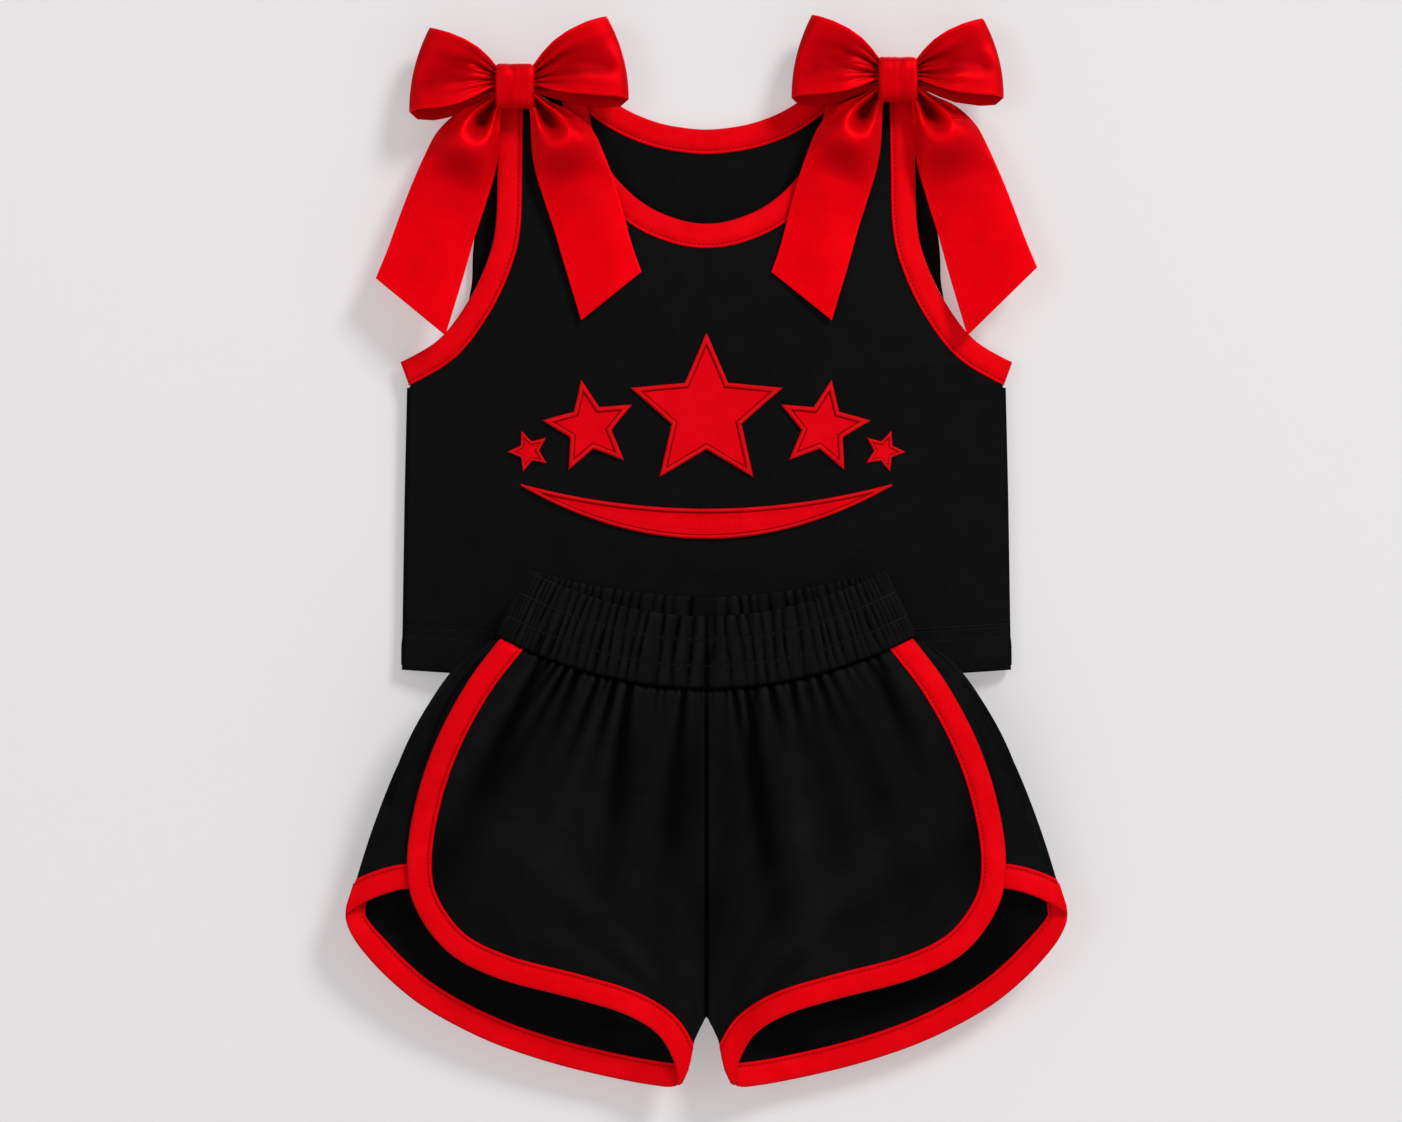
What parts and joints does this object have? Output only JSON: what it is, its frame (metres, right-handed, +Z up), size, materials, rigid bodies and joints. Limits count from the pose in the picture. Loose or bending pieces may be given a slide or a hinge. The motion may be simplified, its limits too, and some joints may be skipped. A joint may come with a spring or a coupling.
{
  "type": "cheer uniform",
  "caption": "Youth cheer uniform: cropped sleeveless knit top with satin shoulder bows and a star emblem, and matching bound dolphin-hem shorts hung in front of it.",
  "frame": {"origin": "middle of the shoulder line, on the plane that the back of the top lies on", "axes": "+Z up towards the shoulders, -Y out of the front of the garments, +X to the viewer's right"},
  "size_m": [0.4486, 0.0552, 0.6692],
  "materials": {
    "black_knit": "matt double-knit jersey",
    "red_binding": "folded knit binding, matt with a slight sheen",
    "red_satin": "satin ribbon, soft gloss",
    "red_twill": "twill applique with satin-stitched edges",
    "elastic": "woven elastic",
    "red_thread": "polyester thread"
  },
  "bodies": {
    "top": {"top_front_panel": "black_knit", "top_back_panel": "black_knit", "top_front_hem_band": "black_knit", "top_back_hem_band": "black_knit", "front_neck_binding": "red_binding", "back_neck_binding": "red_binding", "emblem_star_centre": "red_twill", "emblem_sash": "red_twill", "left_armhole_binding": "red_binding", "right_armhole_binding": "red_binding", "left_emblem_star_inner": "red_twill", "left_emblem_star_outer": "red_twill", "right_emblem_star_inner": "red_twill", "right_emblem_star_outer": "red_twill", "left_bow_outer_loop": "red_satin", "left_bow_inner_loop": "red_satin", "left_bow_knot": "red_satin", "left_bow_tail_gather": "red_satin", "right_bow_outer_loop": "red_satin", "right_bow_inner_loop": "red_satin", "right_bow_knot": "red_satin", "right_bow_tail_gather": "red_satin", "left_bow_tack_stitch": "red_thread", "right_bow_tack_stitch": "red_thread"},
    "shorts": {"left_shorts_front_panel": "black_knit", "left_shorts_back_panel": "black_knit", "left_waistband_casing": "black_knit", "left_leg_front_binding": "red_binding", "left_leg_back_binding": "red_binding", "right_shorts_front_panel": "black_knit", "right_shorts_back_panel": "black_knit", "right_waistband_casing": "black_knit", "right_leg_front_binding": "red_binding", "right_leg_back_binding": "red_binding", "waistband_elastic": "elastic"},
    "left_outer_tail": {"left_bow_outer_tail": "red_satin"},
    "left_inner_tail": {"left_bow_inner_tail": "red_satin"},
    "right_outer_tail": {"right_bow_outer_tail": "red_satin"},
    "right_inner_tail": {"right_bow_inner_tail": "red_satin"}
  },
  "joints": [
    {"name": "shorts_pull_down", "type": "slide", "parent": "top", "child": "shorts", "axis": [0, 0, -1], "range_m": [0, 0.1]},
    {"name": "left_outer_tail_swing", "type": "hinge", "parent": "top", "child": "left_outer_tail", "pos_m": [-0.1475, -0.0133, -0.0305], "axis": [-0.9455, 0, 0.3256], "range_deg": [0, 80]},
    {"name": "left_inner_tail_swing", "type": "hinge", "parent": "top", "child": "left_inner_tail", "pos_m": [-0.0915, -0.0133, -0.0305], "axis": [-0.9455, 0, -0.3256], "range_deg": [0, 80]},
    {"name": "right_outer_tail_swing", "type": "hinge", "parent": "top", "child": "right_outer_tail", "pos_m": [0.1475, -0.0133, -0.0305], "axis": [-0.9455, 0, -0.3256], "range_deg": [0, 80]},
    {"name": "right_inner_tail_swing", "type": "hinge", "parent": "top", "child": "right_inner_tail", "pos_m": [0.0915, -0.0133, -0.0305], "axis": [-0.9455, 0, 0.3256], "range_deg": [0, 80]}
  ]
}
